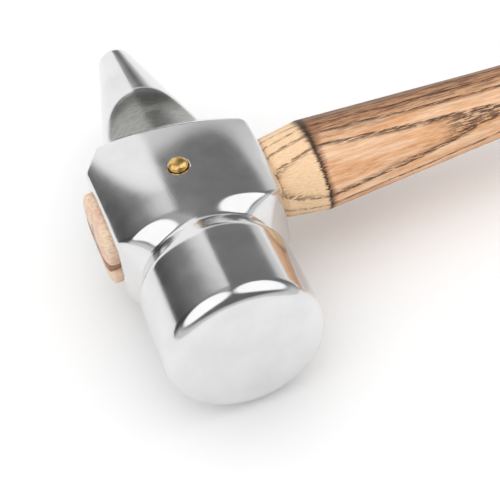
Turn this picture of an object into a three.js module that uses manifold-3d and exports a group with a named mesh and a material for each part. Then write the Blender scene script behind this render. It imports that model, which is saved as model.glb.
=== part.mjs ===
// A smith's hand hammer: a forged steel head with a round striking face at one end and a tapered
// round peen at the other, on an ash handle. The handle's tenon is spread in the eye by a wooden
// wedge and a steel wedge, and locked by a brass pin across the cheeks.
//
// Millimetres, +Z up. The origin is the centre of the striking face. +Y runs through the head to
// the peen, +X runs along the handle to its butt, and +Z points out of the upper cheek.

import * as THREE from "three";
import { mergeVertices } from "three/addons/utils/BufferGeometryUtils.js";
import Module from "manifold-3d";

const wasm = await Module();
wasm.setup();

// ---- Driving dimensions ----

const GAP = 0.3; // clearance left between neighbouring pieces
const FACE_RADIUS = 21;

const poll = {
  edgeRounding: 4.5,
  rimRadius: 20.4,
  rimY: 25.5,
  bevelEndY: 31.3,
  neckRadius: 18,
  endY: 46, // inside the body
};

const body = {
  flareY: 30.5, // where the neck starts to flare out to the ears
  flareHalfX: 15.6,
  flareRadius: 18.2,
  frontY: 39.6, // front corners of the ears
  cornerRadius: 26.4, // reach of the front corners from the head's axis
  earRearY: 68,
  rearY: 77.6,
  rearHalfWidth: 12,
  leftX: -21.3, // ear end on the wedged side
  rightX: 24.1, // ear end on the handle side
  rightBulge: 0.5,
  crownZ: 18.1, // half thickness in the middle
  crownX: -1.5,
  crownDrop: 8.3, // how much lower the cheeks are at the ears
  crownPower: 2.8,
  rearBendY: 44.5, // the cheeks bend down from here towards the peen
  rearBend: 0.0036,
};

const peen = {
  startY: 70, // inside the body
  coneY: 85.5,
  coneRadius: 12.7,
  tipRadius: 5.25,
  tipCentreY: 115.2,
};

const cove = {
  wallTopY: 69.7, // the wall falls from the rear edge of the cheek into the hollow
  wallTopZ: 15.6,
  wallSlope: 0.85,
  nearY: 81.5, // the hollow slopes down to here, then rounds up to the peen
  nearSlope: 0.32,
  floorY: 86,
  floorZ: 9.6,
  radius: 14,
  endY: 97, // past the hollow's far end
};

const eye = { y: 53.3, halfLength: 12, halfWidth: 8.5, cornerRadius: 5 };

const pin = { x: 0.8, y: 51.6, shankRadius: 2.1, headRadius: 2.65, headHeight: 1.3 };

const tenonEndX = body.leftX - 3.2;

const handle = {
  y: 54.05,
  neckX: body.rightX + body.rightBulge + GAP, // the neck widens from the head to the shoulder
  neckHalfHeight: 12.6,
  shoulderX: 36.4,
  shoulderHalfHeight: 14.5,
  buttX: tenonEndX + 360,
  flatness: 0.717, // thickness over height
  buttRounding: 3,
};
// [x, half height] of the handle from its shoulder to its butt
const handleStations = [
  [handle.shoulderX, handle.shoulderHalfHeight],
  [66, 12.4],
  [96, 10.4],
  [122, 9.7],
  [165, 11.2],
  [215, 13.4],
  [262, 14.3],
  [300, 14.4],
  [handle.buttX - handle.buttRounding, 15.4],
];

const woodenWedge = { depth: 17, outerThickness: 3.2, innerThickness: 1.2, halfWidth: 11 };
const steelWedge = { depth: 12, outerThickness: 2.4, innerThickness: 0.9, halfWidth: 5.6, y: 53.3 };

const ROUND_SEGMENTS = 64;
const CURVE_STEPS = 6;

// ---- Helpers ----

function toSolid(geometry) {
  const bare = geometry.clone();
  bare.deleteAttribute("normal");
  bare.deleteAttribute("uv");
  const welded = mergeVertices(bare, 1e-4);
  const corners = welded.index.array;
  const kept = [];
  for (let i = 0; i < corners.length; i += 3) {
    const [a, b, c] = corners.slice(i, i + 3);
    if (a !== b && b !== c && c !== a) kept.push(a, b, c);
  }
  return new wasm.Manifold(
    new wasm.Mesh({
      numProp: 3,
      vertProperties: new Float32Array(welded.attributes.position.array),
      triVerts: new Uint32Array(kept),
    }),
  );
}

function toGeometry(solid) {
  const { vertProperties, triVerts } = solid.getMesh();
  const geometry = new THREE.BufferGeometry();
  geometry.setAttribute("position", new THREE.BufferAttribute(vertProperties, 3));
  geometry.setIndex(new THREE.BufferAttribute(triVerts, 1));
  geometry.computeVertexNormals();
  return geometry;
}

// A shape drawn in (x, z), extruded along +Y
function extrudeAlongY(shape, fromY, toY) {
  const geometry = new THREE.ExtrudeGeometry(shape, { depth: toY - fromY, bevelEnabled: false });
  return toSolid(geometry.rotateX(Math.PI / 2).translate(0, toY, 0));
}

// A shape drawn in (y, z), extruded along +X
function extrudeAlongX(shape, fromX, toX) {
  const geometry = new THREE.ExtrudeGeometry(shape, {
    depth: toX - fromX,
    bevelEnabled: false,
    curveSegments: CURVE_STEPS,
  });
  const axes = [new THREE.Vector3(0, 1, 0), new THREE.Vector3(0, 0, 1), new THREE.Vector3(1, 0, 0)];
  return toSolid(geometry.applyMatrix4(new THREE.Matrix4().makeBasis(...axes)).translate(fromX, 0, 0));
}

// A shape drawn in (x, y), extruded along +Z to the same distance on both sides of Z = 0
function extrudeAlongZ(shape, halfDepth) {
  const geometry = new THREE.ExtrudeGeometry(shape, {
    depth: 2 * halfDepth,
    bevelEnabled: false,
    curveSegments: CURVE_STEPS,
  });
  return toSolid(geometry.translate(0, 0, -halfDepth));
}

// A profile of [radius, y] points turned about the Y axis
function turn(profile, segments = ROUND_SEGMENTS) {
  const points = profile.map(([radius, y]) => new THREE.Vector2(radius, y));
  return new THREE.LatheGeometry(points, segments);
}

// [radius, y] points on an arc, with its angles in degrees measured from the outward radius
function arc(centreRadius, centreY, radius, fromAngle, toAngle, steps) {
  const points = [];
  for (let i = 0; i <= steps; i += 1) {
    const angle = THREE.MathUtils.degToRad(fromAngle + ((toAngle - fromAngle) * i) / steps);
    points.push([centreRadius + radius * Math.cos(angle), centreY + radius * Math.sin(angle)]);
  }
  return points;
}

function polygon(points) {
  return new THREE.Shape(points.map(([u, v]) => new THREE.Vector2(u, v)));
}

function roundedRectangle(centreU, halfU, halfV, radius) {
  const shape = new THREE.Shape();
  const quarter = Math.PI / 2;
  const [innerU, innerV] = [halfU - radius, halfV - radius];
  shape.absarc(centreU + innerU, -innerV, radius, -quarter, 0);
  shape.absarc(centreU + innerU, innerV, radius, 0, quarter);
  shape.absarc(centreU - innerU, innerV, radius, quarter, 2 * quarter);
  shape.absarc(centreU - innerU, -innerV, radius, 2 * quarter, 3 * quarter);
  return shape;
}

// ---- Head ----

function pollSolid() {
  const { edgeRounding, rimRadius, rimY, bevelEndY, neckRadius, endY } = poll;
  return toSolid(
    turn([
      [0, 0],
      ...arc(FACE_RADIUS - edgeRounding, edgeRounding, edgeRounding, -90, 0, 6),
      [rimRadius, rimY],
      [neckRadius, bevelEndY],
      [neckRadius, endY],
      [0, endY],
    ]),
  );
}

// Half thickness of the body across its width: flat in the middle and steep near the ears
function crownHeight(x) {
  const earX = x < body.crownX ? body.leftX : body.rightX;
  const away = (x - body.crownX) / (earX - body.crownX);
  return body.crownZ - body.crownDrop * away ** body.crownPower;
}

function crownSolid() {
  const steps = 24;
  const fromX = body.rightX + 1;
  const toX = body.leftX - 1;
  const upper = [];
  for (let i = 0; i <= steps; i += 1) {
    const x = fromX + ((toX - fromX) * i) / steps;
    upper.push([x, crownHeight(x)]);
  }
  const lower = upper.map(([x, z]) => [x, -z]).reverse();
  return extrudeAlongY(polygon([...upper, ...lower]), body.flareY, body.rearY + 1);
}

// The outline seen from above: flaring from the neck to the ears, then tapering to the peen
function planSolid() {
  const plan = new THREE.Shape();
  plan.moveTo(-body.flareHalfX, body.flareY - 1);
  plan.lineTo(body.flareHalfX, body.flareY - 1);
  plan.lineTo(body.flareHalfX, body.flareY);
  plan.lineTo(body.rightX, body.frontY);
  plan.quadraticCurveTo(
    body.rightX + 2 * body.rightBulge,
    (body.frontY + body.earRearY) / 2,
    body.rightX,
    body.earRearY,
  );
  plan.lineTo(body.rearHalfWidth, body.rearY);
  plan.lineTo(-body.rearHalfWidth, body.rearY);
  plan.lineTo(body.leftX, body.earRearY);
  plan.lineTo(body.leftX, body.frontY);
  plan.lineTo(-body.flareHalfX, body.flareY);
  plan.closePath();
  return extrudeAlongZ(plan, body.crownZ + 2);
}

// The outline seen along the handle: level at first, then bending down towards the peen
function sideSolid() {
  const reach = body.rearY + 1 - body.rearBendY;
  const rearZ = body.crownZ - body.rearBend * reach ** 2;
  const side = new THREE.Shape();
  side.moveTo(body.flareY - 1, -body.crownZ);
  side.lineTo(body.rearBendY, -body.crownZ);
  side.quadraticCurveTo(body.rearBendY + reach / 2, -body.crownZ, body.rearY + 1, -rearZ);
  side.lineTo(body.rearY + 1, rearZ);
  side.quadraticCurveTo(body.rearBendY + reach / 2, body.crownZ, body.rearBendY, body.crownZ);
  side.lineTo(body.flareY - 1, body.crownZ);
  side.closePath();
  return extrudeAlongX(side, -30, 30);
}

// A cone about the head's axis that rounds the flare off from the neck to the ear corners
function flareSolid() {
  const pastRear = body.rearY + 2;
  return toSolid(
    turn([
      [0, body.flareY - 2],
      [body.flareRadius, body.flareY - 2],
      [body.flareRadius, body.flareY],
      [body.cornerRadius, body.frontY],
      [body.cornerRadius + 4, body.frontY + 3],
      [body.cornerRadius + 4, pastRear],
      [0, pastRear],
    ]),
  );
}

function bodySolid() {
  return crownSolid().intersect(planSolid()).intersect(sideSolid()).intersect(flareSolid());
}

function peenSolid() {
  const slope = (peen.coneRadius - peen.tipRadius) / (peen.tipCentreY - peen.coneY);
  const tangentAngle = THREE.MathUtils.radToDeg(Math.atan(slope));
  return toSolid(
    turn([
      [0, peen.startY],
      [peen.coneRadius + slope * (peen.coneY - peen.startY), peen.startY],
      ...arc(0, peen.tipCentreY, peen.tipRadius, tangentAngle, 90, 7),
    ]),
  );
}

// The wall and hollow cut across the root of the peen, above (side 1) or below (side -1)
function coveCutter(side) {
  const { wallTopY, wallTopZ, wallSlope, nearY, nearSlope, floorY, floorZ, radius, endY } = cove;
  const clearZ = 30;
  const hollowZ = (y) => floorZ + (y - floorY) ** 2 / (2 * radius);
  const nearZ = hollowZ(nearY);
  const creaseY =
    (wallTopZ + wallSlope * wallTopY - nearZ - nearSlope * nearY) / (wallSlope - nearSlope);
  const creaseZ = nearZ + nearSlope * (nearY - creaseY);
  const middleY = (nearY + endY) / 2;
  const controlZ = nearZ + ((nearY - floorY) / radius) * (middleY - nearY);
  const shape = new THREE.Shape();
  shape.moveTo(creaseY - (clearZ - creaseZ) / wallSlope, side * clearZ);
  shape.lineTo(creaseY, side * creaseZ);
  shape.lineTo(nearY, side * nearZ);
  shape.quadraticCurveTo(middleY, side * controlZ, endY, side * hollowZ(endY));
  shape.lineTo(endY, side * clearZ);
  shape.closePath();
  return extrudeAlongX(shape, -30, 30);
}

function cylinderAlongZ(radius, x, y, halfLength) {
  const geometry = new THREE.CylinderGeometry(radius, radius, 2 * halfLength, 24);
  return toSolid(geometry.rotateX(Math.PI / 2).translate(x, y, 0));
}

function headSolid() {
  const eyeShape = roundedRectangle(eye.y, eye.halfLength, eye.halfWidth, eye.cornerRadius);
  return pollSolid()
    .add(bodySolid())
    .add(peenSolid())
    .subtract(coveCutter(1))
    .subtract(coveCutter(-1))
    .subtract(extrudeAlongX(eyeShape, -30, 30))
    .subtract(cylinderAlongZ(pin.shankRadius + GAP, pin.x, pin.y, 30));
}

// ---- Handle ----

function gripSolid() {
  const line = new THREE.SplineCurve(handleStations.map(([x, half]) => new THREE.Vector2(half, x)));
  const sides = line.getPoints(26).map((point) => [point.x, point.y]);
  const { neckX, neckHalfHeight, buttX, buttRounding } = handle;
  const lastHalf = handleStations.at(-1)[1];
  const geometry = turn(
    [
      [0, neckX],
      [neckHalfHeight, neckX],
      ...sides,
      ...arc(lastHalf - buttRounding, buttX - buttRounding, buttRounding, 0, 90, 4).slice(1),
      [0, buttX],
    ],
    48,
  );
  geometry.rotateZ(-Math.PI / 2).scale(1, 1, handle.flatness).translate(0, handle.y, 0);
  return toSolid(geometry);
}

// A flat wedge whose thick end lies at the outer end of the tenon, drawn in (x, thickness)
function wedgeShape(wedge, centre, spare) {
  const outerX = tenonEndX - (spare > 0 ? 5 : 0);
  const innerX = tenonEndX + wedge.depth + spare;
  const outer = wedge.outerThickness / 2 + spare;
  const inner = wedge.innerThickness / 2 + spare;
  return polygon([
    [outerX, centre - outer],
    [innerX, centre - inner],
    [innerX, centre + inner],
    [outerX, centre + outer],
  ]);
}

function woodenWedgeSolid(spare, halfWidth) {
  return extrudeAlongY(wedgeShape(woodenWedge, 0, spare), eye.y - halfWidth, eye.y + halfWidth);
}

function steelWedgeSolid(spare) {
  return extrudeAlongZ(wedgeShape(steelWedge, steelWedge.y, spare), steelWedge.halfWidth + spare);
}

function handleSolid() {
  const tenonShape = roundedRectangle(
    eye.y,
    eye.halfLength - GAP,
    eye.halfWidth - GAP,
    eye.cornerRadius - GAP,
  );
  return extrudeAlongX(tenonShape, tenonEndX, handle.neckX + GAP)
    .add(gripSolid())
    .subtract(woodenWedgeSolid(GAP, eye.halfLength + 2))
    .subtract(steelWedgeSolid(GAP))
    .subtract(cylinderAlongZ(pin.shankRadius + GAP, pin.x, pin.y, 30));
}

// ---- Brass pin ----

function pinSolid() {
  const seatZ = body.crownZ + GAP;
  const headTopZ = seatZ + pin.headHeight;
  const dome = [];
  const domeSteps = 5;
  for (let i = 0; i <= domeSteps; i += 1) {
    const angle = ((Math.PI / 2) * i) / domeSteps;
    const rise = 0.3 + (pin.headHeight - 0.3) * Math.sin(angle);
    dome.push([pin.headRadius * Math.cos(angle), seatZ + rise]);
  }
  const upper = [[pin.shankRadius, seatZ], [pin.headRadius, seatZ], ...dome.slice(0, -1), [0, headTopZ]];
  const lower = upper.map(([radius, z]) => [radius, -z]).reverse();
  return toSolid(turn([...lower, ...upper], 28).rotateX(Math.PI / 2).translate(pin.x, pin.y, 0));
}

// ---- Assembly ----

const steel = { color: 0xb9bbbd, roughness: 0.25, metalness: 1 };
const ash = { color: 0xd9a777, roughness: 0.6, metalness: 0 };
const darkWood = { color: 0x9c6a4a, roughness: 0.65, metalness: 0 };
const plainSteel = { color: 0x8f9194, roughness: 0.45, metalness: 1 };
const brass = { color: 0xd2a24a, roughness: 0.3, metalness: 1 };

const pieces = [
  ["head", headSolid(), steel],
  ["handle", handleSolid(), ash],
  ["wooden_wedge", woodenWedgeSolid(0, woodenWedge.halfWidth).subtract(steelWedgeSolid(GAP)), darkWood],
  ["steel_wedge", steelWedgeSolid(0), plainSteel],
  ["brass_pin", pinSolid(), brass],
];

const group = new THREE.Group();
for (const [name, solid, look] of pieces) {
  const mesh = new THREE.Mesh(toGeometry(solid), new THREE.MeshStandardMaterial(look));
  mesh.name = name;
  group.add(mesh);
}

export default group;
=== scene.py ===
import math

import bmesh
import bpy
import numpy as np
from mathutils import Matrix, Vector


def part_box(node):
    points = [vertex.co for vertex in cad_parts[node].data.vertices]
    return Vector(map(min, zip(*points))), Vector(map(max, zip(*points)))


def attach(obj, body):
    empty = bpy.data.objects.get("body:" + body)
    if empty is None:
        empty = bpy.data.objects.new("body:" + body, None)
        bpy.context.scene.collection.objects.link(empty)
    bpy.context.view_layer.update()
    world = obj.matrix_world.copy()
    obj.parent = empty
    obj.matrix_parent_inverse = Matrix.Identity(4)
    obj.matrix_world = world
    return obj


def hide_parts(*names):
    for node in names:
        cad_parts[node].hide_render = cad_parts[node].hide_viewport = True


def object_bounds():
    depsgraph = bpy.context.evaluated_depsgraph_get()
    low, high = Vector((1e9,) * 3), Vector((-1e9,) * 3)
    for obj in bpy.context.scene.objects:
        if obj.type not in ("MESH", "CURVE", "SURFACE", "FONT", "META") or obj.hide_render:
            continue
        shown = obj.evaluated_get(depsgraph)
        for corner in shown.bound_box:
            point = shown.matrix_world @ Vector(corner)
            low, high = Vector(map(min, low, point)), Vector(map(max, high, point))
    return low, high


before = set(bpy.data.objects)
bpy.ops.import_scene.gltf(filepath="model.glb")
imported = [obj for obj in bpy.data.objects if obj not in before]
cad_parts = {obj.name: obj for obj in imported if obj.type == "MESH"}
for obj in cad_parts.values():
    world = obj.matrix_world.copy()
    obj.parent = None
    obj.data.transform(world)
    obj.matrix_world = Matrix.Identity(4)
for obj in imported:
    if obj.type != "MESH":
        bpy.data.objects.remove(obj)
cad_low, cad_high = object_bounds()

# A smith's hand hammer: polished forged head, scorched ash handle, wooden and steel wedges and a
# brass cross pin. Lengths in this script are millimetres in the part's own frame until MM turns
# them into metres: the origin is the centre of the striking face, +Y runs to the peen and +X to
# the butt of the handle.

MM = 0.001

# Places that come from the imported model
FACE_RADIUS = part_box("head")[1][2] / MM
EAR_LEFT_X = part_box("head")[0][0] / MM
PEEN_TIP_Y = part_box("head")[1][1] / MM
TENON_END_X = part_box("handle")[0][0] / MM
BUTT_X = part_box("handle")[1][0] / MM

# Drum behind the striking face, and the neck it is bevelled down to
EDGE_ROUNDING = 4.5
RIM_Y = 25.5
RIM_RADIUS = 20.4
BEVEL_END_Y = 31.3
NECK_RADIUS = 18.0
NECK_HALF_X = 15.6

# Eye block: it flares out of the neck to the two ears, then narrows towards the peen
NECK_END_Y = 29.8
FLARE_START_Y = 30.5
BODY_FULL_Y = 37.0
BODY_FRONT_Y = 39.6
EAR_REAR_Y = 68.0
BODY_REAR_Y = 77.6
BODY_REAR_HALF = 12.0
EAR_RIGHT_X = 24.1
EAR_RIGHT_BULGE = 0.5

# Crowned cheeks of the eye block
CROWN_Z = 18.1
CROWN_X = -1.5
CROWN_DROP = 8.3
CROWN_POWER = 2.8
CROWN_TURN_Y = 44.5
CROWN_REAR_BEND = 0.0034

# Peen: a cone with a ball end
PEEN_START_Y = 73.0
CONE_Y = 85.5
CONE_RADIUS = 12.7
TIP_RADIUS = 5.25
TIP_CENTRE_Y = PEEN_TIP_Y - TIP_RADIUS

# Hollows ground across the root of the peen, above and below, and the wall in front of each
COVE_Y = 87.0
COVE_FLOOR_Z = 10.7
COVE_RADIUS = 24.0
COVE_CROSS_RADIUS = 15.5
COVE_NEAR_SLOPE = 0.30
WALL_TOP_Y = 69.7
WALL_TOP_Z = 15.8
WALL_SLOPE = 0.85
WALL_SKEW = 0.12
WALL_CROSS_RADIUS = 70.0

# The hollows' field rises about this much faster than a distance does
COVE_STEEPNESS = 1.15

# Where the dull finish of the hollows starts behind the wall's top, and where it ends
DULL_START = 0.6
DULL_FULL = 2.4
DULL_END_Y = 92.0
DULL_FADE = 2.5

# How wide the rounding is where two of the head's surfaces meet
BEVEL_SOFT = 0.35
FLARE_SOFT = 2.0
FLANK_SOFT = 1.0
FLANK_SOFT_GAIN = 0.45
FLANK_SOFT_RUN = 9.0
EAR_SOFT = 0.9
REAR_POINT_SOFT = 0.5
REAR_SIDE_SOFT = 0.8
REAR_SOFT = 0.9
DRUM_JOIN_SOFT = 0.5
PEEN_JOIN_SOFT = 0.9
WALL_SOFT = 0.3
COVE_SOFT = 0.35
EYE_SOFT = 0.6
PIN_HOLE_SOFT = 0.3

# How far the drum and the eye block run into each other, so that they join
DRUM_OVERLAP = 1.5
BODY_OVERLAP = 3.0

# The head's mesh: its grid step, the empty margin around it, and how its vertices are settled
GRID_STEP = 0.5
GRID_MARGIN = 1.5
SETTLE_STEPS = 4
LEAST_GRADIENT = 0.05

# Eye and tenon
EYE_Y = 53.3
EYE_HALF = (12.0, 8.5)
EYE_CORNER = 5.0
TENON_GAP = 0.12
TENON_DOME_LENGTH = 1.8
TENON_DOME_INSET = 4.5
TENON_STRAIGHT_START = 3.0
TENON_LEAST_CORNER = 0.4
TENON_SEARCH_REACH = 30.0
TENON_SEARCH_STEPS = 30

# Handle: an oval, FLATNESS times as thick as it is high
HANDLE_Y = 54.05
FLATNESS = 0.717
NECK_X = 24.75
NECK_HALF = 12.6
SHOULDER_X = 36.4
SHOULDER_HALF = 14.5
BUTT_ROUNDING = 3.0

# Short steps along the handle that keep its edges crisp at the neck and at the shoulder
NECK_STEP = 0.6
NECK_EDGE = 0.4
SHOULDER_EDGE_BEFORE = 0.25
SHOULDER_EDGE_AFTER = 0.15
SHOULDER_STEP = 1.2

# How finely the handle is divided around and along
HANDLE_SEGMENTS = 144
DOME_RINGS = 12
TENON_RINGS = 24
NECK_RINGS = 14
GRIP_RINGS = 200
BUTT_RINGS = 7

# Half height of the handle at places along it
HANDLE_STATIONS = [
    (SHOULDER_X, SHOULDER_HALF),
    (66, 12.4),
    (96, 10.4),
    (122, 9.7),
    (165, 11.2),
    (215, 13.4),
    (262, 14.3),
    (300, 14.4),
    (BUTT_X - BUTT_ROUNDING, 15.4),
]

# Growth layers of the ash: the direction they lie square to, their width, and where they start
LAYER_DIRECTION = (0.004, -0.65, 0.76)
LAYER_WIDTH = 2.6
LAYER_OFFSET = 50.0

# Wedges: each thickness is given at the tenon's end and at the wedge's point
WOOD_WEDGE_DEPTH = 17.0
WOOD_WEDGE_THICKNESS = (3.2, 1.2)
WOOD_WEDGE_HALF = 11.0
STEEL_WEDGE_DEPTH = 12.0
STEEL_WEDGE_THICKNESS = (2.4, 0.9)
STEEL_WEDGE_HALF = 5.6
WEDGE_BEVEL = 0.25
WEDGE_GAP = 0.08
KERF_EXTRA = 3.0
CUTTER_REACH = 4.0

# Pin: the domed ends stand on short seats in the mouths of the hole
PIN_X = 0.8
PIN_Y = 51.6
PIN_RADIUS = 2.62
PIN_HOLE_GAP = 0.08
PIN_SHANK_GAP = 0.12
PIN_SEAT_DEPTH = 0.6
PIN_DOME_BASE = 0.3
PIN_DOME = 1.25
PIN_DOME_POWER = 0.85
PIN_DOME_RINGS = 12
PIN_SEGMENTS = 48

# Directions of the studio's lamps and of the bright panel behind the hammer
LEFT_LAMP = (-0.58, -0.10, 0.81)
RIGHT_LAMP = (0.62, -0.10, 0.78)
PANEL_CENTRE = (0.10, 0.99, 0.10)

# Cosine of the angle from the middle of each to its edge, and how soft the edges are
LEFT_LAMP_EDGE = 0.82
RIGHT_LAMP_EDGE = 0.84
LAMP_BLUR = 0.03
PANEL_EDGE = 0.755
PANEL_BLUR = 0.022

# How bright each looks in the steel
LAMP_RADIANCE = 1.3
PANEL_RADIANCE = 1.05
HORIZON_RADIANCE = 0.09

# Floor, in metres
FLOOR_HALF = 3.0
FLOOR_GAP = 0.0005

# Camera: angles in degrees, place and focal length in millimetres, near limit in metres
CAMERA_AZIMUTH = -11.5
CAMERA_ELEVATION = 47.04
CAMERA_ROLL = -10.58
CAMERA_PLACE = (-58.9, -312.56, 377.93)
CAMERA_LENS = 144.72
CAMERA_NEAR = 0.01


# ---- Mesh helpers ----


def ring_quads(ring_count, segments):
    """The quads that join each ring of vertices to the next."""
    quads = []
    for ring in range(ring_count - 1):
        for segment in range(segments):
            after = (segment + 1) % segments
            near = ring * segments
            far = near + segments
            quads.append((near + segment, near + after, far + after, far + segment))
    return quads


def make_object(name, vertices, faces, material):
    """A smooth-shaded mesh object from vertices in millimetres."""
    mesh = bpy.data.meshes.new(name)
    mesh.from_pydata((np.asarray(vertices) * MM).tolist(), [], faces)
    mesh.validate()
    mesh.polygons.foreach_set("use_smooth", [True] * len(mesh.polygons))
    mesh.materials.append(material)
    obj = bpy.data.objects.new(name, mesh)
    bpy.context.scene.collection.objects.link(obj)
    return obj


def smooth_min(a, b, width):
    """The union of two fields, blended where they are less than width apart."""
    overlap = np.maximum(width - np.abs(a - b), 0.0) / width
    return np.minimum(a, b) - overlap * overlap * width / 4


def smooth_max(a, b, width):
    """What two fields have in common, with the edge between them rounded."""
    return -smooth_min(-a, -b, width)


def round_corner(a, b, radius):
    """The inside of both a and b, with their edge rounded to a true arc."""
    outside = np.hypot(np.maximum(a + radius, 0.0), np.maximum(b + radius, 0.0))
    return outside + np.minimum(np.maximum(a + radius, b + radius), 0.0) - radius


def half_plane(u, v, start, end):
    """Signed distance to the line from start to end, positive on its left side."""
    du = end[0] - start[0]
    dv = end[1] - start[1]
    return ((v - start[1]) * du - (u - start[0]) * dv) / math.hypot(du, dv)


def rounded_rectangle(u, v, half_u, half_v, corner):
    """Signed distance to a rectangle with round corners, centred on the origin."""
    return round_corner(np.abs(u) - half_u, np.abs(v) - half_v, corner)


def field_gradient(field, points, reach=0.02):
    """How the field changes along each axis, from its values a little to both sides."""
    parts = []
    for axis in range(3):
        shift = np.zeros(3)
        shift[axis] = reach
        parts.append((field(points + shift) - field(points - shift)) / (2 * reach))
    return np.stack(parts, 1)


def surface_of(field, low, high, step):
    """Vertices, quads and normals of the closed surface where the field is zero."""
    axes = [np.arange(low[i], high[i] + step, step) for i in range(3)]
    shape = [len(a) for a in axes]
    value = np.empty(shape)
    yy, zz = np.meshgrid(axes[1], axes[2], indexing="ij")
    for i, x in enumerate(axes[0]):
        plane = np.stack([np.full(yy.size, x), yy.ravel(), zz.ravel()], 1)
        value[i] = field(plane).reshape(yy.shape)
    inside = value < 0

    # one vertex in each cell that the surface passes through
    offsets = [(i, j, k) for i in (0, 1) for j in (0, 1) for k in (0, 1)]

    def corner(grid, offset):
        return grid[tuple(slice(o, o + n - 1) for o, n in zip(offset, shape))]

    count = sum(corner(inside, offset).astype(np.int8) for offset in offsets)
    cells = np.argwhere((count > 0) & (count < 8))
    index = np.full([n - 1 for n in shape], -1, dtype=np.int64)
    index[tuple(cells.T)] = np.arange(len(cells))

    total = np.zeros((len(cells), 3))
    crossings = np.zeros(len(cells))
    for first in offsets:
        for axis in range(3):
            if first[axis]:
                continue
            second = tuple(1 if a == axis else o for a, o in enumerate(first))
            va = value[tuple((cells + first).T)]
            vb = value[tuple((cells + second).T)]
            crosses = (va < 0) != (vb < 0)
            share = np.where(crosses, va / np.where(crosses, va - vb, 1.0), 0.0)
            point = np.tile(np.asarray(first, float), (len(cells), 1))
            point[:, axis] = share
            total += point * crosses[:, None]
            crossings += crosses
    origin = np.array([a[0] for a in axes])
    points = origin + step * (cells + total / crossings[:, None])

    # one quad around each grid edge that the surface crosses
    quads = []
    for axis, (across, up) in enumerate(((1, 2), (2, 0), (0, 1))):
        near = [slice(None)] * 3
        far = [slice(None)] * 3
        near[axis] = slice(0, shape[axis] - 1)
        far[axis] = slice(1, shape[axis])
        leaves = inside[tuple(near)] & ~inside[tuple(far)]
        enters = ~inside[tuple(near)] & inside[tuple(far)]
        for edges, order in ((leaves, 1), (enters, -1)):
            at = np.argwhere(edges)
            ring = []
            for da, du in ((0, 0), (-1, 0), (-1, -1), (0, -1)):
                cell = at.copy()
                cell[:, across] += da
                cell[:, up] += du
                ring.append(index[tuple(cell.T)])
            quads.append(np.stack(ring, 1)[:, ::order])
    quads = np.concatenate(quads)

    # settle the vertices onto the true surface
    for _ in range(SETTLE_STEPS):
        gradient = field_gradient(field, points)
        length = np.maximum((gradient**2).sum(1), LEAST_GRADIENT)
        points = points - np.clip(field(points) / length, -step, step)[:, None] * gradient
    normals = field_gradient(field, points)
    normals /= np.linalg.norm(normals, axis=1)[:, None]
    return points, quads, normals


# ---- Head ----


def drum_field(x, y, z):
    """The drum: slightly tapered, rounded at the striking face, bevelled down to the neck."""
    radius = np.hypot(x, z)
    side = half_plane(y, radius, (0, FACE_RADIUS), (RIM_Y, RIM_RADIUS))
    drum = round_corner(side, -y, EDGE_ROUNDING)
    bevel = half_plane(y, radius, (RIM_Y, RIM_RADIUS), (BEVEL_END_Y, NECK_RADIUS))
    drum = smooth_max(drum, bevel, BEVEL_SOFT)
    return np.maximum(drum, y - BEVEL_END_Y - DRUM_OVERLAP)


def crown_reach(x):
    """How far x lies from the middle of the crown, as a share of the way to the ear."""
    to_left = (CROWN_X - x) / (CROWN_X - EAR_LEFT_X)
    to_right = (x - CROWN_X) / (EAR_RIGHT_X - CROWN_X)
    return np.where(x < CROWN_X, to_left, to_right)


def crown_height(x, y):
    """Half thickness of the body: a pillow, flat in the middle and steep near the ears."""
    away = crown_reach(x)
    bend = CROWN_REAR_BEND * np.maximum(y - CROWN_TURN_Y, 0.0) ** 2
    return CROWN_Z - CROWN_DROP * away**CROWN_POWER - bend * np.clip(1 - away**4, 0, 1)


def flank_field(x, y, side, ear_x):
    """One flank seen from above: straight along the neck, then flaring out to the ear."""
    along_neck = side * x - NECK_HALF_X
    run = (BODY_FRONT_Y - FLARE_START_Y, abs(ear_x) - NECK_HALF_X)
    flare = side * x - NECK_HALF_X - (y - FLARE_START_Y) * run[1] / run[0]
    flare = flare * run[0] / math.hypot(*run)
    return smooth_min(along_neck, flare, FLARE_SOFT)


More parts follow.
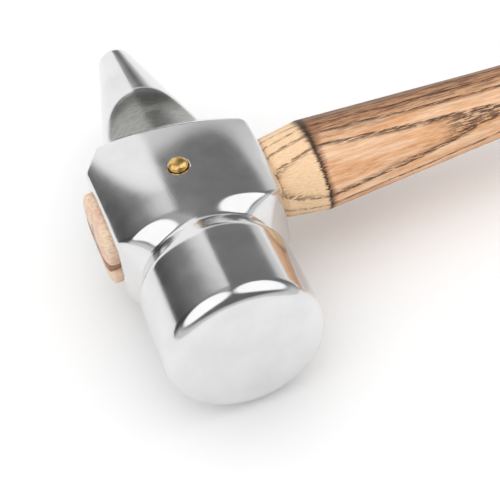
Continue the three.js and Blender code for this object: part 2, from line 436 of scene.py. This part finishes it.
def body_field(x, y, z):
    """The eye block: round at the neck, then as thick as its crown and cut to its plan."""
    half_width = (EAR_RIGHT_X - EAR_LEFT_X) / 2
    lean = CROWN_DROP * CROWN_POWER / half_width * crown_reach(x) ** (CROWN_POWER - 1)
    crown = (np.abs(z) - crown_height(x, y)) / np.hypot(1.0, lean)
    neck = np.hypot(x, z) - NECK_RADIUS
    share = np.clip((y - NECK_END_Y) / (BODY_FULL_Y - NECK_END_Y), 0, 1)
    share = share * share * (3 - 2 * share)
    body = neck * (1 - share) + crown * share
    edge = FLANK_SOFT + FLANK_SOFT_GAIN * np.clip(BODY_FRONT_Y - y, 0, FLANK_SOFT_RUN)
    for side, ear_x in ((-1, EAR_LEFT_X), (1, EAR_RIGHT_X)):
        body = smooth_max(body, flank_field(x, y, side, ear_x), edge)
    middle = (BODY_FRONT_Y + EAR_REAR_Y) / 2
    reach = (EAR_REAR_Y - BODY_FRONT_Y) / 2
    bulge = EAR_RIGHT_BULGE * (1 - ((y - middle) / reach) ** 2)
    body = smooth_max(body, EAR_LEFT_X - x, EAR_SOFT)
    body = smooth_max(body, x - EAR_RIGHT_X - bulge, EAR_SOFT)
    left = half_plane(x, y, (EAR_LEFT_X, EAR_REAR_Y), (-BODY_REAR_HALF, BODY_REAR_Y))
    right = half_plane(x, y, (BODY_REAR_HALF, BODY_REAR_Y), (EAR_RIGHT_X, EAR_REAR_Y))
    body = smooth_max(body, smooth_max(left, right, REAR_POINT_SOFT), REAR_SIDE_SOFT)
    body = smooth_max(body, y - BODY_REAR_Y, REAR_SOFT)
    return np.maximum(body, RIM_Y - BODY_OVERLAP - y)


def peen_field(x, y, z):
    """The peen: a straight cone that runs smoothly into its ball end."""
    radius = np.hypot(x, z)
    run = TIP_CENTRE_Y - CONE_Y
    lean = math.atan2(CONE_RADIUS, run) - math.asin(TIP_RADIUS / math.hypot(CONE_RADIUS, run))
    along = y - TIP_CENTRE_Y
    cone = radius * math.cos(lean) + along * math.sin(lean) - TIP_RADIUS
    tip = np.hypot(radius, along) - TIP_RADIUS
    past = along * math.cos(lean) - radius * math.sin(lean) > 0
    return np.maximum(np.where(past, tip, cone), PEEN_START_Y - y)


def cove_field(x, y, z):
    """Above the hollow ground across the root of the peen and the sloping wall before it."""
    curve_start = COVE_Y - COVE_NEAR_SLOPE * COVE_RADIUS
    before = np.maximum(curve_start - y, 0.0)
    curved = np.maximum(y, curve_start) - COVE_Y
    hollow_z = COVE_FLOOR_Z + curved**2 / (2 * COVE_RADIUS) + COVE_NEAR_SLOPE * before
    hollow_z = hollow_z - x**2 / (2 * COVE_CROSS_RADIUS)
    wall_z = WALL_TOP_Z - WALL_SLOPE * (y - WALL_TOP_Y + WALL_SKEW * x)
    wall_z = wall_z - x**2 / (2 * WALL_CROSS_RADIUS)
    return (np.abs(z) - smooth_max(hollow_z, wall_z, WALL_SOFT)) / COVE_STEEPNESS


def head_field(points):
    """The whole head, with the hollows, the eye and the pin hole taken out."""
    x, y, z = points.T
    head = smooth_min(body_field(x, y, z), drum_field(x, y, z), DRUM_JOIN_SOFT)
    head = smooth_min(head, peen_field(x, y, z), PEEN_JOIN_SOFT)
    head = smooth_max(head, cove_field(x, y, z), COVE_SOFT)
    eye = rounded_rectangle(y - EYE_Y, z, *EYE_HALF, EYE_CORNER)
    head = smooth_max(head, -eye, EYE_SOFT)
    pin_hole = np.hypot(x - PIN_X, y - PIN_Y) - PIN_RADIUS - PIN_HOLE_GAP
    return smooth_max(head, -pin_hole, PIN_HOLE_SOFT)


def build_head(material):
    low = np.array([EAR_LEFT_X, 0.0, -FACE_RADIUS]) - GRID_MARGIN
    high = np.array([EAR_RIGHT_X + EAR_RIGHT_BULGE, PEEN_TIP_Y, FACE_RADIUS]) + GRID_MARGIN
    points, quads, normals = surface_of(head_field, low, high, GRID_STEP)
    head = make_object("forged_head", points, quads.tolist(), material)
    head.data.normals_split_custom_set_from_vertices(normals.tolist())
    return head


# ---- Handle ----


def spline_half_height(x):
    """Half height of the handle at x, on a smooth curve through the stations."""
    xs = np.array([s[0] for s in HANDLE_STATIONS], float)
    hs = np.array([s[1] for s in HANDLE_STATIONS], float)
    slopes = np.gradient(hs, xs)
    i = np.clip(np.searchsorted(xs, x) - 1, 0, len(xs) - 2)
    width = xs[i + 1] - xs[i]
    t = (x - xs[i]) / width
    start = (1 + 2 * t) * (1 - t) ** 2 * hs[i] + t * (1 - t) ** 2 * width * slopes[i]
    end = t * t * (3 - 2 * t) * hs[i + 1] + t * t * (t - 1) * width * slopes[i + 1]
    return start + end


def tenon_ring(x, inset, around):
    """One ring of the tenon, a rounded rectangle found along each direction."""
    half = [h - TENON_GAP - inset for h in EYE_HALF]
    corner = max(EYE_CORNER - TENON_GAP - inset, TENON_LEAST_CORNER)
    # halve the span between a point inside and one outside until they meet
    near = np.zeros_like(around)
    far = np.full_like(around, TENON_SEARCH_REACH)
    for _ in range(TENON_SEARCH_STEPS):
        middle = (near + far) / 2
        outside = rounded_rectangle(middle * np.cos(around), middle * np.sin(around), *half, corner)
        far = np.where(outside > 0, middle, far)
        near = np.where(outside > 0, near, middle)
    return ring_points(x, EYE_Y, near * np.cos(around), near * np.sin(around))


def oval_ring(x, half_height, around):
    """One ring of the handle outside the eye."""
    half_thickness = half_height * FLATNESS
    return ring_points(x, HANDLE_Y, half_height * np.cos(around), half_thickness * np.sin(around))


def ring_points(x, centre_y, across, up):
    """The points of a ring that lies square to the handle at x."""
    return np.stack([np.full_like(across, x), centre_y + across, up], 1)


def tenon_rings(around):
    """The tenon, from its domed end through the eye."""
    rings = []
    for angle in np.linspace(0, math.pi / 2, DOME_RINGS):
        x = TENON_END_X + TENON_DOME_LENGTH * (1 - math.cos(angle))
        rings.append(tenon_ring(x, TENON_DOME_INSET * (1 - math.sin(angle)), around))
    for x in np.linspace(TENON_END_X + TENON_STRAIGHT_START, NECK_X - NECK_STEP, TENON_RINGS):
        rings.append(tenon_ring(x, 0.0, around))
    return rings


def neck_rings(around):
    """The pale neck between the eye and the shoulder, which swells evenly."""
    rings = [oval_ring(NECK_X, NECK_HALF - NECK_EDGE, around)]
    for x in np.linspace(NECK_X + NECK_EDGE, SHOULDER_X - SHOULDER_EDGE_BEFORE, NECK_RINGS):
        share = (x - NECK_X) / (SHOULDER_X - NECK_X)
        rings.append(oval_ring(x, NECK_HALF + (SHOULDER_HALF - NECK_HALF) * share, around))
    return rings


def grip_rings(around):
    """The scorched shaft from the shoulder to the rounded butt."""
    stations = np.linspace(SHOULDER_X + SHOULDER_STEP, BUTT_X - BUTT_ROUNDING, GRIP_RINGS)
    rings = []
    for x in (SHOULDER_X + SHOULDER_EDGE_AFTER, *stations):
        rings.append(oval_ring(x, float(spline_half_height(x)), around))
    last = HANDLE_STATIONS[-1][1]
    for angle in np.linspace(0, math.pi / 2, BUTT_RINGS)[1:]:
        x = BUTT_X - BUTT_ROUNDING * (1 - math.sin(angle))
        rings.append(oval_ring(x, last - BUTT_ROUNDING * (1 - math.cos(angle)), around))
    return rings


def build_handle(material):
    around = np.linspace(0, 2 * math.pi, HANDLE_SEGMENTS, endpoint=False)
    rings = tenon_rings(around) + neck_rings(around) + grip_rings(around)
    vertices = np.concatenate(rings)
    faces = ring_quads(len(rings), HANDLE_SEGMENTS)
    faces.append(tuple(reversed(range(HANDLE_SEGMENTS))))
    faces.append(tuple(range(len(vertices) - HANDLE_SEGMENTS, len(vertices))))
    handle = make_object("ash_handle", vertices, faces, material)
    set_outward(handle)
    return handle


def set_outward(obj):
    """Turn every face to point out of the closed mesh."""
    work = bmesh.new()
    work.from_mesh(obj.data)
    bmesh.ops.recalc_face_normals(work, faces=work.faces)
    work.to_mesh(obj.data)
    work.free()


def wedge_block(name, depth, thickness, half_width, across_axis, material):
    """A wedge driven in at the tenon's end. across_axis says which axis its width runs along."""
    block = wedge_mesh(name, TENON_END_X, depth, thickness, half_width, across_axis, material)
    add_modifier(block, "BEVEL", width=WEDGE_BEVEL * MM, segments=3, limit_method="NONE")
    apply_modifiers(block)
    return block


def wedge_cutter(name, depth, thickness, half_width, across_axis, material):
    """The slot for a wedge: a gap larger all round, and open past the tenon's end."""
    outer_x = TENON_END_X - CUTTER_REACH
    loose = [t + 2 * WEDGE_GAP for t in thickness]
    half_width += WEDGE_GAP
    return wedge_mesh(name, outer_x, depth + WEDGE_GAP, loose, half_width, across_axis, material)


def wedge_mesh(name, outer_x, depth, thickness, half_width, across_axis, material):
    """A plain taper from outer_x to depth past the tenon's end."""
    vertices = []
    for x, thick in zip((outer_x, TENON_END_X + depth), thickness):
        for a, b in ((-1, -1), (1, -1), (1, 1), (-1, 1)):
            if across_axis == "Y":
                vertices.append((x, EYE_Y + a * half_width, b * thick / 2))
            else:
                vertices.append((x, EYE_Y + b * thick / 2, a * half_width))
    faces = [(0, 1, 2, 3), (4, 7, 6, 5), (0, 4, 5, 1), (1, 5, 6, 2), (2, 6, 7, 3), (3, 7, 4, 0)]
    block = make_object(name, vertices, faces, material)
    set_outward(block)
    return block


def add_modifier(obj, kind, **settings):
    """Add a modifier of this kind, with these settings, to the object's stack."""
    modifier = obj.modifiers.new(kind.lower(), kind)
    for name, value in settings.items():
        setattr(modifier, name, value)


def apply_modifiers(obj):
    """Make the result of the modifiers the object's own mesh."""
    graph = bpy.context.evaluated_depsgraph_get()
    mesh = bpy.data.meshes.new_from_object(obj.evaluated_get(graph))
    old = obj.data
    obj.modifiers.clear()
    obj.data = mesh
    bpy.data.meshes.remove(old)


def combine(obj, operation, other):
    """Cut obj with other, or keep only what they share."""
    add_modifier(obj, "BOOLEAN", operation=operation, object=other, solver="EXACT")
    apply_modifiers(obj)


def build_pin(material):
    """The brass pin: a shank with a peened dome proud of each cheek."""
    shank_radius = PIN_RADIUS - PIN_SHANK_GAP
    seat = CROWN_Z - PIN_SEAT_DEPTH
    profile = [(shank_radius, 0.0), (shank_radius, seat), (PIN_RADIUS, seat + PIN_DOME_BASE)]
    for angle in np.linspace(0, 1, PIN_DOME_RINGS) * math.pi / 2:
        radius = PIN_RADIUS * math.cos(angle) ** PIN_DOME_POWER
        profile.append((radius, CROWN_Z + PIN_DOME_BASE + PIN_DOME * math.sin(angle)))
    tip_z = profile[-1][1]
    rows = [(r, -z) for r, z in reversed(profile[1:-1])] + profile[:-1]
    vertices = []
    for radius, z in rows:
        for segment in range(PIN_SEGMENTS):
            angle = 2 * math.pi * segment / PIN_SEGMENTS
            x = PIN_X + radius * math.cos(angle)
            y = PIN_Y + radius * math.sin(angle)
            vertices.append((x, y, z))
    bottom = len(vertices)
    top = bottom + 1
    vertices.append((PIN_X, PIN_Y, -tip_z))
    vertices.append((PIN_X, PIN_Y, tip_z))
    faces = ring_quads(len(rows), PIN_SEGMENTS)
    last = bottom - PIN_SEGMENTS
    for segment in range(PIN_SEGMENTS):
        after = (segment + 1) % PIN_SEGMENTS
        faces.append((bottom, after, segment))
        faces.append((top, last + segment, last + after))
    pin = make_object("brass_cross_pin", vertices, faces, material)
    set_outward(pin)
    return pin


# ---- Materials ----


class Nodes:
    """A small wrapper that adds linked nodes to one material's or world's tree."""

    def __init__(self, owner):
        owner.use_nodes = True
        self.tree = owner.node_tree
        self.tree.nodes.clear()

    def add(self, kind, inputs=None, **settings):
        node = self.tree.nodes.new(kind)
        for name, value in settings.items():
            setattr(node, name, value)
        for name, value in (inputs or {}).items():
            self.feed(node.inputs[name], value)
        return node

    def feed(self, socket, value):
        if isinstance(value, bpy.types.NodeSocket):
            self.tree.links.new(value, socket)
        else:
            socket.default_value = value

    def math(self, operation, a, b=0.0, c=0.0):
        return self.add("ShaderNodeMath", {0: a, 1: b, 2: c}, operation=operation).outputs[0]

    def vector(self, operation, a, b=(0, 0, 0)):
        node = self.add("ShaderNodeVectorMath", {0: a, 1: b}, operation=operation)
        return node.outputs["Value" if operation == "DOT_PRODUCT" else "Vector"]

    def noise(self, vector, scale, detail, roughness):
        inputs = {"Vector": vector, "Scale": scale, "Detail": detail, "Roughness": roughness}
        return self.add("ShaderNodeTexNoise", inputs).outputs["Fac"]

    def smooth(self, value, low, high, out_low=0.0, out_high=1.0):
        """A smooth ramp from out_low at low to out_high at high, level beyond them."""
        inputs = {"Value": value, "From Min": low, "From Max": high}
        inputs.update({"To Min": out_low, "To Max": out_high})
        node = self.add("ShaderNodeMapRange", inputs, interpolation_type="SMOOTHSTEP")
        return node.outputs[0]

    def mix(self, factor, a, b):
        """Colour a where the factor is 0 and colour b where it is 1."""
        node = self.add("ShaderNodeMix", data_type="RGBA")
        for socket, value in ((0, factor), (6, a), (7, b)):
            self.feed(node.inputs[socket], value)
        return node.outputs[2]

    def blend(self, share, a, b):
        """Value a where the share is 0 and value b where it is 1."""
        return self.math("ADD", a, self.math("MULTIPLY", share, self.math("SUBTRACT", b, a)))

    def separate(self, vector):
        return self.add("ShaderNodeSeparateXYZ", {0: vector}).outputs

    def scaled(self, vector, x, y, z):
        return self.vector("MULTIPLY", vector, (x, y, z))

    def position(self):
        """The object's own coordinates, in millimetres."""
        coordinates = self.add("ShaderNodeTexCoord").outputs["Object"]
        return self.scaled(coordinates, 1 / MM, 1 / MM, 1 / MM)

    def surface(self, **inputs):
        """End the tree in a principled surface. An underscore in a name stands for a space."""
        named = {name.replace("_", " "): value for name, value in inputs.items()}
        shader = self.add("ShaderNodeBsdfPrincipled", named)
        self.add("ShaderNodeOutputMaterial", {"Surface": shader.outputs[0]})

    def bump(self, height, distance):
        inputs = {"Height": height, "Distance": distance * MM, "Strength": 1.0}
        return self.add("ShaderNodeBump", inputs).outputs["Normal"]


def rgb(red, green, blue):
    return (red, green, blue, 1.0)


# Linear colours. Where there are two of a kind, a noise mixes them.
STEEL_DARK = rgb(0.72, 0.72, 0.725)
STEEL_LIGHT = rgb(0.78, 0.78, 0.78)
HOLLOW_DARK = rgb(0.24, 0.24, 0.225)
HOLLOW_LIGHT = rgb(0.38, 0.38, 0.36)
RAW_ASH_DARK = rgb(0.78, 0.49, 0.27)
RAW_ASH_LIGHT = rgb(0.90, 0.67, 0.44)
RAW_PORE = rgb(0.16, 0.065, 0.025)
END_GRAIN_LIGHT = rgb(0.80, 0.60, 0.44)
END_GRAIN_PINK = rgb(0.72, 0.47, 0.36)
END_GRAIN_RAY = rgb(0.82, 0.66, 0.50)
END_GRAIN_PORE = rgb(0.34, 0.17, 0.10)
SHAFT_ORANGE = rgb(0.60, 0.27, 0.115)
SHAFT_HONEY = rgb(0.80, 0.45, 0.235)
SHAFT_PALE = rgb(0.86, 0.58, 0.38)
TOASTED_DARK = rgb(0.21, 0.088, 0.037)
TOASTED_LIGHT = rgb(0.45, 0.22, 0.10)
SHAFT_STREAK = rgb(0.13, 0.052, 0.024)
# grey-brown that darkens the shaft towards its upper edge
SHAFT_UPPER_EDGE_GREY = rgb(0.13, 0.09, 0.065)
SHAFT_PORE = rgb(0.085, 0.036, 0.018)
BURN_HALO = rgb(0.26, 0.11, 0.05)
BURN_LINE = rgb(0.035, 0.018, 0.012)
HARDWOOD_DARK = rgb(0.24, 0.10, 0.05)
HARDWOOD_LIGHT = rgb(0.45, 0.24, 0.13)
HARDWOOD_SPECK = rgb(0.08, 0.035, 0.02)
DRIVEN_DARK = rgb(0.22, 0.22, 0.23)
DRIVEN_LIGHT = rgb(0.48, 0.48, 0.5)
BRASS_DARK = rgb(0.66, 0.39, 0.11)
BRASS_LIGHT = rgb(0.88, 0.60, 0.24)
FLOOR_PALE = rgb(0.93, 0.93, 0.93)


def hollow_mask(n, p):
    """1 on the hollows at the root of the peen, which lie below its cone, and 0 elsewhere."""
    x, y, z = n.separate(p)
    across = n.math("SQRT", n.math("ADD", n.math("MULTIPLY", x, x), n.math("MULTIPLY", z, z)))
    taper = (CONE_RADIUS - TIP_RADIUS) / (TIP_CENTRE_Y - CONE_Y)
    cone = n.math("MULTIPLY_ADD", y, -taper, CONE_RADIUS + taper * CONE_Y)
    below_cone = n.smooth(n.math("SUBTRACT", cone, across), 0.1, 0.7)
    behind_wall = n.smooth(y, WALL_TOP_Y + DULL_START, WALL_TOP_Y + DULL_FULL)
    before_tip = n.smooth(y, DULL_END_Y + DULL_FADE, DULL_END_Y)
    return n.math("MULTIPLY", n.math("MULTIPLY", below_cone, behind_wall), before_tip)


def steel_material():
    """Finely ground and polished, except the hollows by the peen, which are duller and darker."""
    material = bpy.data.materials.new("polished_steel")
    n = Nodes(material)
    p = n.position()
    hollow = hollow_mask(n, p)
    # grinding marks run along the head, and across it in the hollows
    along = n.noise(n.scaled(p, 3.0, 0.35, 3.0), 1.0, 3.0, 0.6)
    cross = n.noise(n.scaled(p, 0.5, 4.0, 0.5), 1.0, 3.0, 0.6)
    cloud = n.noise(p, 0.09, 3.0, 0.6)
    rough = n.math("ADD", n.smooth(cloud, 0.3, 0.7, 0.09, 0.15), n.math("MULTIPLY", along, 0.05))
    rough = n.math("ADD", rough, n.math("MULTIPLY", hollow, 0.13))
    bright = n.mix(n.smooth(cloud, 0.3, 0.7), STEEL_DARK, STEEL_LIGHT)
    dull = n.mix(n.smooth(cross, 0.3, 0.7), HOLLOW_DARK, HOLLOW_LIGHT)
    height = n.math("ADD", n.math("MULTIPLY", along, 0.6), n.math("MULTIPLY", cross, 0.4))
    n.surface(
        Base_Color=n.mix(hollow, bright, dull),
        Metallic=1.0,
        Roughness=rough,
        Normal=n.bump(height, 0.012),
    )
    return material


def early_wood(n, p):
    """The porous early wood: densest where each growth layer starts, thinning out across it."""
    centred = n.vector("SUBTRACT", p, (0, HANDLE_Y, 0))
    depth = n.vector("DOT_PRODUCT", centred, LAYER_DIRECTION)
    wander = n.noise(n.scaled(p, 0.012, 0.05, 0.05), 1.0, 2.0, 0.5)
    ripple = n.noise(n.scaled(p, 0.06, 0.6, 0.6), 1.0, 3.0, 0.6)
    depth = n.math("ADD", depth, n.smooth(wander, 0.3, 0.7, -0.5, 0.5))
    depth = n.math("ADD", depth, n.smooth(ripple, 0.2, 0.8, -0.22, 0.22))
    layer = n.math("DIVIDE", n.math("ADD", depth, LAYER_OFFSET), LAYER_WIDTH)
    ring = n.math("FRACT", layer)
    return n.math("MULTIPLY", n.smooth(ring, 0.0, 0.06), n.smooth(ring, 0.36, 0.08))


def shaft_colour(n, p, fine):
    """The scorched shaft: orange below, browner and more streaked towards the upper edge."""
    y = n.separate(p)["Y"]
    broad = n.noise(n.scaled(p, 0.03, 0.7, 0.7), 1.0, 3.0, 0.6)
    dashes = n.noise(n.scaled(p, 0.14, 1.7, 1.7), 1.0, 4.0, 0.7)
    colour = n.mix(n.smooth(fine, 0.3, 0.7), SHAFT_ORANGE, SHAFT_HONEY)
    colour = n.mix(n.smooth(broad, 0.35, 0.7), colour, SHAFT_PALE)
    upper = n.smooth(y, HANDLE_Y - 5.0, HANDLE_Y + 4.0)
    toasted = n.math("MULTIPLY", upper, n.smooth(broad, 0.2, 0.65, 0.45, 0.95))
    browned = n.mix(n.smooth(fine, 0.3, 0.7), TOASTED_DARK, TOASTED_LIGHT)
    colour = n.mix(toasted, colour, browned)
    streaked = n.smooth(y, HANDLE_Y - 5.0, HANDLE_Y + 4.0, 0.15, 0.95)
    streak = n.math("MULTIPLY", n.smooth(dashes, 0.45, 0.60), streaked)
    colour = n.mix(streak, colour, SHAFT_STREAK)
    # darker and greyer towards the upper edge
    upper_edge_greying = n.smooth(y, HANDLE_Y + 4.0, HANDLE_Y + 10.0, 0.0, 0.55)
    return n.mix(upper_edge_greying, colour, SHAFT_UPPER_EDGE_GREY)


def end_grain_colour(n, p):
    """Pores and rays of a sawn end, for the tenon's end face."""
    cells = n.noise(n.scaled(p, 0.5, 2.4, 2.4), 1.0, 3.0, 0.7)
    rays = n.noise(n.scaled(p, 0.5, 0.4, 1.8), 1.0, 3.0, 0.6)
    patches = n.noise(n.scaled(p, 0.2, 0.35, 0.35), 1.0, 2.0, 0.5)
    colour = n.mix(n.smooth(patches, 0.35, 0.65), END_GRAIN_LIGHT, END_GRAIN_PINK)
    colour = n.mix(n.smooth(rays, 0.45, 0.68, 0.0, 0.7), colour, END_GRAIN_RAY)
    return n.mix(n.smooth(cells, 0.52, 0.68, 0.0, 0.7), colour, END_GRAIN_PORE)


def burn_shoulder(n, p, colour, pores):
    """The line burnt in around the shoulder, with its brown halo on the shaft's side."""
    x, y, _ = n.separate(p)
    spread = n.smooth(y, HANDLE_Y - 12.0, HANDLE_Y + 12.0, 0.6, 1.7)
    reach = n.math("SUBTRACT", x, SHOULDER_X + 0.3)
    reach = n.math("ADD", reach, n.smooth(pores, 0.3, 0.7, -0.5, 0.5))
    reach = n.math("DIVIDE", reach, spread)
    halo = n.smooth(n.math("ABSOLUTE", n.math("SUBTRACT", reach, 0.6)), 2.6, 0.4, 0.0, 0.75)
    colour = n.mix(halo, colour, BURN_HALO)
    edge = n.smooth(n.math("ABSOLUTE", reach), 1.3, 0.15)
    return n.mix(n.math("MULTIPLY", edge, 0.93), colour, BURN_LINE)


def ash_material():
    """Raw ash in the eye and on the neck, scorched ash from the shoulder to the butt."""
    material = bpy.data.materials.new("scorched_ash")
    n = Nodes(material)
    p = n.position()
    x = n.separate(p)["X"]
    early = early_wood(n, p)
    pores = n.noise(n.scaled(p, 0.22, 3.2, 3.2), 1.0, 3.0, 0.7)
    fine = n.noise(n.scaled(p, 0.09, 6.0, 6.0), 1.0, 3.0, 0.6)
    open_pore = n.math("MULTIPLY", early, n.smooth(pores, 0.46, 0.58))
    burnt_pore = n.math("MULTIPLY", early, n.smooth(pores, 0.38, 0.56))

    raw = n.mix(n.smooth(fine, 0.3, 0.7), RAW_ASH_DARK, RAW_ASH_LIGHT)
    raw = n.mix(n.math("MULTIPLY", open_pore, 0.8), raw, RAW_PORE)
    tenon_end = n.smooth(x, EAR_LEFT_X + 3.0, EAR_LEFT_X - 0.5)
    raw = n.mix(tenon_end, raw, end_grain_colour(n, p))
    burnt = n.mix(n.math("MULTIPLY", burnt_pore, 0.9), shaft_colour(n, p, fine), SHAFT_PORE)
    scorched = n.smooth(x, SHOULDER_X - 0.4, SHOULDER_X + 0.4)
    colour = burn_shoulder(n, p, n.mix(scorched, raw, burnt), pores)

    # the pores are open grooves, except on the sawn end
    groove = n.math("MULTIPLY", open_pore, n.math("SUBTRACT", 1.0, tenon_end))
    height = n.math("SUBTRACT", n.math("MULTIPLY", fine, 0.25), groove)
    n.surface(
        Base_Color=colour,
        Roughness=n.smooth(fine, 0.2, 0.8, 0.42, 0.58),
        Normal=n.bump(height, 0.2),
        Specular_IOR_Level=0.35,
    )
    return material


def wedge_wood_material():
    """Reddish hardwood with fine fibres and a few dark specks."""
    material = bpy.data.materials.new("wedge_hardwood")
    n = Nodes(material)
    p = n.position()
    fibre = n.noise(n.scaled(p, 0.8, 0.5, 4.0), 1.0, 3.0, 0.6)
    speck = n.noise(p, 2.4, 2.0, 0.6)
    colour = n.mix(n.smooth(fibre, 0.3, 0.7), HARDWOOD_DARK, HARDWOOD_LIGHT)
    colour = n.mix(n.smooth(speck, 0.62, 0.72, 0.0, 0.6), colour, HARDWOOD_SPECK)
    n.surface(Base_Color=colour, Roughness=0.62, Normal=n.bump(fibre, 0.08))
    return material


def wedge_steel_material():
    """Plain steel, dented where it was driven."""
    material = bpy.data.materials.new("driven_steel")
    n = Nodes(material)
    p = n.position()
    dents = n.noise(p, 1.1, 3.0, 0.6)
    colour = n.mix(n.smooth(dents, 0.35, 0.65), DRIVEN_DARK, DRIVEN_LIGHT)
    rough = n.smooth(dents, 0.3, 0.7, 0.5, 0.32)
    n.surface(Base_Color=colour, Metallic=1.0, Roughness=rough, Normal=n.bump(dents, 0.1))
    return material


def brass_material():
    """Brass with the soft facets that peening leaves."""
    material = bpy.data.materials.new("peened_brass")
    n = Nodes(material)
    p = n.position()
    facets = n.noise(p, 0.7, 2.0, 0.5)
    colour = n.mix(n.smooth(facets, 0.3, 0.7), BRASS_DARK, BRASS_LIGHT)
    n.surface(
        Base_Color=colour,
        Metallic=1.0,
        Roughness=n.smooth(facets, 0.3, 0.7, 0.16, 0.3),
        Normal=n.bump(facets, 0.12),
    )
    return material


def floor_material():
    """Plain and pale."""
    material = bpy.data.materials.new("pale_floor")
    n = Nodes(material)
    n.surface(Base_Color=FLOOR_PALE, Roughness=0.6)
    return material


# ---- Studio ----


def build_world():
    """A plain studio: two large soft lamps, and panels that show only in the steel."""
    world = bpy.data.worlds.new("studio")
    bpy.context.scene.world = world
    n = Nodes(world)
    direction = n.add("ShaderNodeTexCoord").outputs["Generated"]
    x, y, z = n.separate(direction)

    def softbox(centre, edge, softness):
        """1 within a round patch of the sky and 0 outside it."""
        facing = n.vector("DOT_PRODUCT", direction, centre)
        return n.smooth(facing, edge - softness, edge + softness)

    # behind the hammer, on the left: a bright panel, and greys that deepen away from it
    near_panel = n.smooth(x, -0.5, -0.05, 0.2, 0.44)
    far_left = n.smooth(x, -0.5, -0.8, 0.0, -0.14)
    beside_panel = n.math("ADD", near_panel, far_left)
    panel = softbox(PANEL_CENTRE, PANEL_EDGE, PANEL_BLUR)
    back_left = n.blend(panel, beside_panel, PANEL_RADIANCE)

    # behind it, on the right: a dark panel over a light strip, and a dark horizon
    strip_height = n.math("ADD", z, n.math("MULTIPLY", x, 0.62))
    back_right = n.smooth(strip_height, 0.56, 0.64, 0.74, 0.19)
    horizon = n.math("MULTIPLY", n.smooth(z, 0.34, 0.16), n.smooth(x, 0.45, 0.25))
    back_right = n.blend(horizon, back_right, HORIZON_RADIANCE)
    left = n.smooth(n.math("SUBTRACT", x, n.math("MULTIPLY", y, 0.08)), 0.012, -0.012)
    behind = n.blend(left, back_right, back_left)

    # in front of it: light near the floor and dark above, with the two lamps over all of it
    ahead = n.smooth(z, 0.15, 0.35, 0.7, 0.14)
    seen = n.blend(n.smooth(y, -0.15, 0.45), ahead, behind)
    seen = n.blend(softbox(LEFT_LAMP, LEFT_LAMP_EDGE, LAMP_BLUR), seen, LAMP_RADIANCE)
    seen = n.blend(softbox(RIGHT_LAMP, RIGHT_LAMP_EDGE, LAMP_BLUR), seen, LAMP_RADIANCE)

    # everything that is not a mirror is lit by an even room
    mirrored = n.add("ShaderNodeLightPath").outputs["Is Glossy Ray"]
    room = n.smooth(z, -0.2, 1.0, 0.8, 1.33)
    light = {"Strength": n.blend(mirrored, room, seen), "Color": rgb(1.0, 1.0, 1.0)}
    shade = n.add("ShaderNodeBackground", light)
    n.add("ShaderNodeOutputWorld", {"Surface": shade.outputs[0]})


def build_floor():
    half = FLOOR_HALF
    vertices = [(-half, -half, 0), (half, -half, 0), (half, half, 0), (-half, half, 0)]
    mesh = bpy.data.meshes.new("floor")
    mesh.from_pydata(vertices, [], [(0, 1, 2, 3)])
    mesh.materials.append(floor_material())
    floor = bpy.data.objects.new("floor", mesh)
    floor.location = (0, 0, cad_low[2] - FLOOR_GAP)
    bpy.context.scene.collection.objects.link(floor)


def build_camera():
    """A camera at its place, facing along its azimuth and elevation, then rolled."""
    azimuth = math.radians(CAMERA_AZIMUTH)
    elevation = math.radians(CAMERA_ELEVATION)
    roll = math.radians(CAMERA_ROLL)
    level_reach = math.cos(elevation)
    back = Vector(
        (math.sin(azimuth) * level_reach, -math.cos(azimuth) * level_reach, math.sin(elevation))
    )
    level = Vector((0, 0, 1)).cross(back).normalized()
    rise = back.cross(level)
    right = level * math.cos(roll) + rise * math.sin(roll)
    up = rise * math.cos(roll) - level * math.sin(roll)
    camera = bpy.data.objects.new("camera", bpy.data.cameras.new("camera"))
    bpy.context.scene.collection.objects.link(camera)
    turn = Matrix((right, up, back)).transposed().to_4x4()
    camera.matrix_world = Matrix.Translation(Vector(CAMERA_PLACE) * MM) @ turn
    camera.data.lens = CAMERA_LENS
    camera.data.clip_start = CAMERA_NEAR
    bpy.context.scene.camera = camera


# ---- Assembly ----


def declare(piece, node):
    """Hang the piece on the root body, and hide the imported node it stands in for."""
    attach(piece, "root")
    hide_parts(node)


def build_hammer():
    declare(build_head(steel_material()), "head")

    ash = ash_material()
    wood = wedge_wood_material()
    metal = wedge_steel_material()
    handle = build_handle(ash)
    wooden = wedge_block(
        "hardwood_wedge", WOOD_WEDGE_DEPTH, WOOD_WEDGE_THICKNESS, WOOD_WEDGE_HALF, "Y", wood
    )
    steel = wedge_block(
        "driven_wedge", STEEL_WEDGE_DEPTH, STEEL_WEDGE_THICKNESS, STEEL_WEDGE_HALF, "Z", metal
    )
    # the wooden wedge's kerf is sawn right across the tenon
    kerf_half = EYE_HALF[0] + KERF_EXTRA
    kerf = wedge_cutter("kerf", WOOD_WEDGE_DEPTH, WOOD_WEDGE_THICKNESS, kerf_half, "Y", ash)
    slot = wedge_cutter(
        "slot", STEEL_WEDGE_DEPTH, STEEL_WEDGE_THICKNESS, STEEL_WEDGE_HALF, "Z", ash
    )
    # the wedges are dressed off flush with the domed end of the tenon
    combine(wooden, "INTERSECT", handle)
    combine(steel, "INTERSECT", handle)
    combine(handle, "DIFFERENCE", kerf)
    combine(handle, "DIFFERENCE", slot)
    combine(wooden, "DIFFERENCE", slot)
    for cutter in (kerf, slot):
        bpy.data.objects.remove(cutter)
    declare(handle, "handle")
    declare(wooden, "wooden_wedge")
    declare(steel, "steel_wedge")
    declare(build_pin(brass_material()), "brass_pin")


bpy.context.scene.view_settings.view_transform = "Standard"
build_camera()
build_world()
build_floor()
build_hammer()
